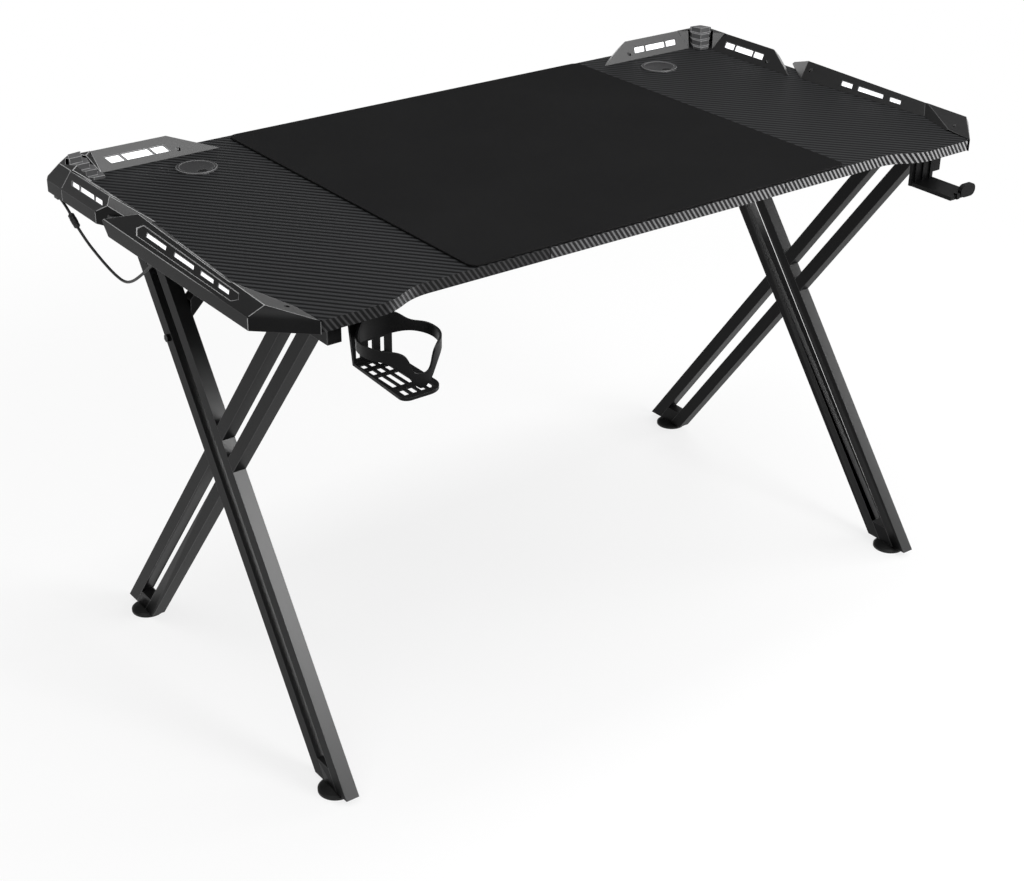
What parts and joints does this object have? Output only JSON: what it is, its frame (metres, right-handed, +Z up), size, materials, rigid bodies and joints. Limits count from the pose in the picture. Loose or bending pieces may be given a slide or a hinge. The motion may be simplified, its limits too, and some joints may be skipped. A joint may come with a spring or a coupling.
{
  "type": "gaming desk",
  "caption": "Sitting desk with crossed tube legs, a dark three-panel top, lit corner fairings, a mouse mat, cable grommets, a cup holder and a headphone hook.",
  "frame": {"origin": "on the floor under the middle of the outline", "axes": "+X to the sitter's right along the desk, +Y to the back edge, +Z up"},
  "size_m": [1.29, 0.7656, 0.7658],
  "materials": {
    "laminate": "dark ribbed carbon-look laminate",
    "mat_cloth": "plain close-woven cloth, dark",
    "grommet_plastic": "fine matte",
    "frame_paint": "satin powder coat",
    "foot_plastic": "matte",
    "fairing_plastic": "fine textured",
    "cap_plastic": "satin",
    "lens": "milky diffuser",
    "strip_board": "coated circuit board",
    "black_steel": "blackened",
    "accessory_plastic": "fine textured",
    "cord_rubber": "smooth"
  },
  "bodies": {
    "desk": {"beam_bolts": "black_steel", "beam_end_plates": "frame_paint", "cord_connector": "cord_rubber", "cord_glands": "cord_rubber", "cord_lower": "cord_rubber", "cord_upper": "cord_rubber", "corner_cap_left": "cap_plastic", "corner_cap_right": "cap_plastic", "corner_shell_left": "fairing_plastic", "corner_shell_right": "fairing_plastic", "cup_holder_base": "accessory_plastic", "cup_holder_ring": "accessory_plastic", "cup_holder_screws": "black_steel", "desktop_panel_centre": "laminate", "desktop_panel_left": "laminate", "desktop_panel_right": "laminate", "fairing_screws": "black_steel", "front_beam": "frame_paint", "front_fairing_left": "fairing_plastic", "front_fairing_lens_left": "lens", "front_fairing_lens_right": "lens", "front_fairing_right": "fairing_plastic", "grommet_sleeve_left": "grommet_plastic", "grommet_sleeve_right": "grommet_plastic", "headphone_hook": "accessory_plastic", "hook_screws": "black_steel", "led_strips": "strip_board", "leg_bolts": "black_steel", "leg_brace_left": "frame_paint", "leg_brace_right": "frame_paint", "leg_cross_lower_left": "frame_paint", "leg_cross_lower_right": "frame_paint", "leg_cross_upper_left": "frame_paint", "leg_cross_upper_right": "frame_paint", "leg_main_left": "frame_paint", "leg_main_right": "frame_paint", "mouse_mat": "mat_cloth", "rail_plugs": "accessory_plastic", "rail_tabs": "frame_paint", "rear_beam": "frame_paint", "rear_wing_left": "fairing_plastic", "rear_wing_lens_left": "lens", "rear_wing_lens_right": "lens", "rear_wing_right": "fairing_plastic", "seam_plates": "frame_paint", "seam_screws": "black_steel", "side_wing_left": "fairing_plastic", "side_wing_lens_left": "lens", "side_wing_lens_right": "lens", "side_wing_right": "fairing_plastic", "top_rail_left": "frame_paint", "top_rail_right": "frame_paint", "top_screws": "black_steel"},
    "foot_front_left_body": {"foot_front_left": "foot_plastic"},
    "foot_front_right_body": {"foot_front_right": "foot_plastic"},
    "foot_rear_left_body": {"foot_rear_left": "foot_plastic"},
    "foot_rear_right_body": {"foot_rear_right": "foot_plastic"},
    "grommet_lid_left_body": {"grommet_lid_left": "grommet_plastic"},
    "grommet_lid_right_body": {"grommet_lid_right": "grommet_plastic"}
  },
  "joints": [
    {"name": "foot_front_left_thread", "type": "hinge", "parent": "desk", "child": "foot_front_left_body", "pos_m": [-0.559, -0.24425, 0.01], "axis": [0, 0, 1], "range_deg": [0, 1800]},
    {"name": "foot_front_right_thread", "type": "hinge", "parent": "desk", "child": "foot_front_right_body", "pos_m": [0.559, -0.24425, 0.01], "axis": [0, 0, 1], "range_deg": [0, 1800]},
    {"name": "foot_rear_left_thread", "type": "hinge", "parent": "desk", "child": "foot_rear_left_body", "pos_m": [-0.559, 0.32175, 0.01], "axis": [0, 0, 1], "range_deg": [0, 1800]},
    {"name": "foot_rear_right_thread", "type": "hinge", "parent": "desk", "child": "foot_rear_right_body", "pos_m": [0.559, 0.32175, 0.01], "axis": [0, 0, 1], "range_deg": [0, 1800]},
    {"name": "grommet_lid_left_turn", "type": "hinge", "parent": "desk", "child": "grommet_lid_left_body", "pos_m": [-0.441, 0.27475, 0.735], "axis": [0, 0, 1], "continuous": true},
    {"name": "grommet_lid_right_turn", "type": "hinge", "parent": "desk", "child": "grommet_lid_right_body", "pos_m": [0.441, 0.27475, 0.735], "axis": [0, 0, 1], "continuous": true}
  ]
}
